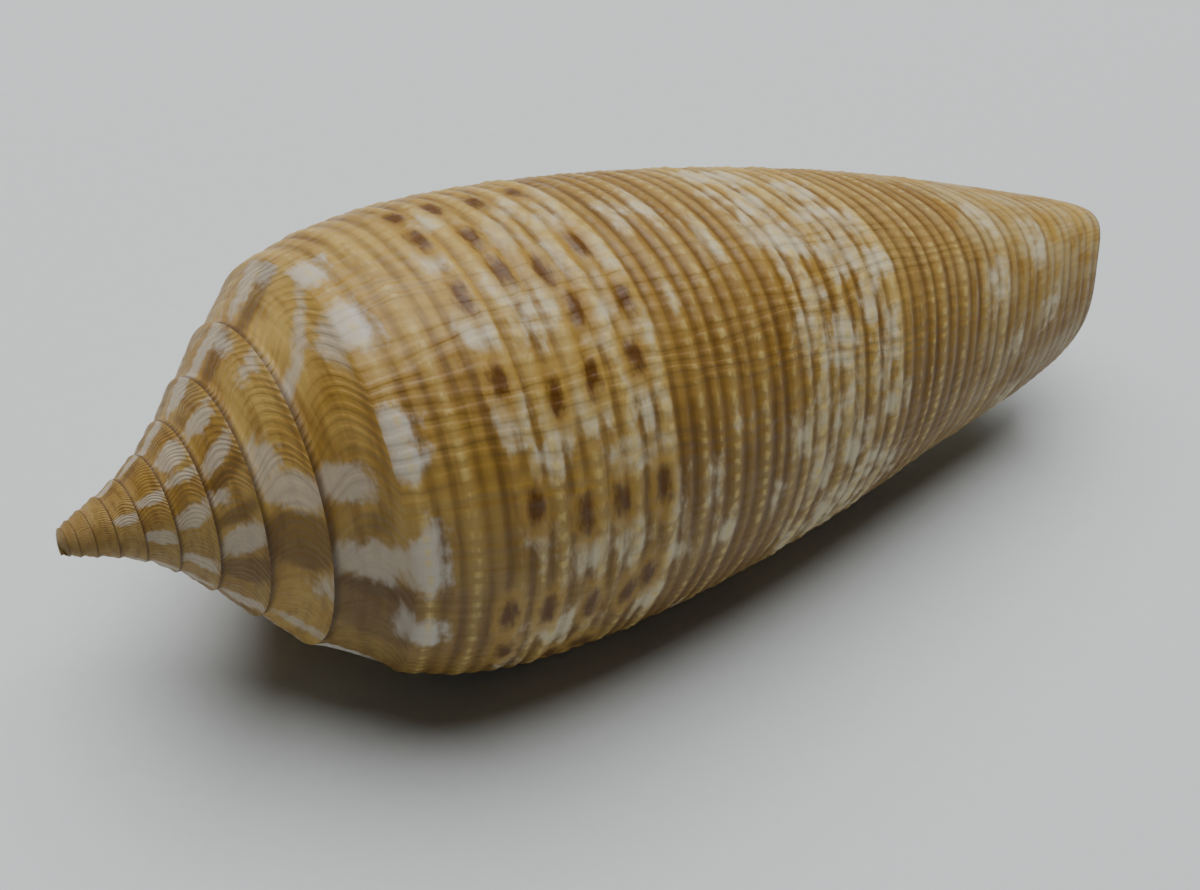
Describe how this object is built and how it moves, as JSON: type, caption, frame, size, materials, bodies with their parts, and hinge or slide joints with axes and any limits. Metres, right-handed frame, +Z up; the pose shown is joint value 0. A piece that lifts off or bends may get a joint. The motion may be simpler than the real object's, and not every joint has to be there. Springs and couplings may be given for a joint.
{
  "type": "cone shell",
  "caption": "Empty sea snail shell, a long cone with a tall stepped spire, spiral cords and a narrow aperture along its underside, lying on that side.",
  "frame": {"origin": "on the surface it lies on, under the middle of the shell", "axes": "+X along the shell from the apex of the spire to the front end, which dips towards the surface; +Z up; the outer lip is under the -Y side"},
  "size_m": [0.0702, 0.0266, 0.0252],
  "materials": {
    "shell": "satin calcium carbonate: ochre brown with greyish white blotches and rows of dark brown dots, in bands round the whorl"
  },
  "bodies": {
    "root": {"shell": "shell"}
  },
  "joints": []
}
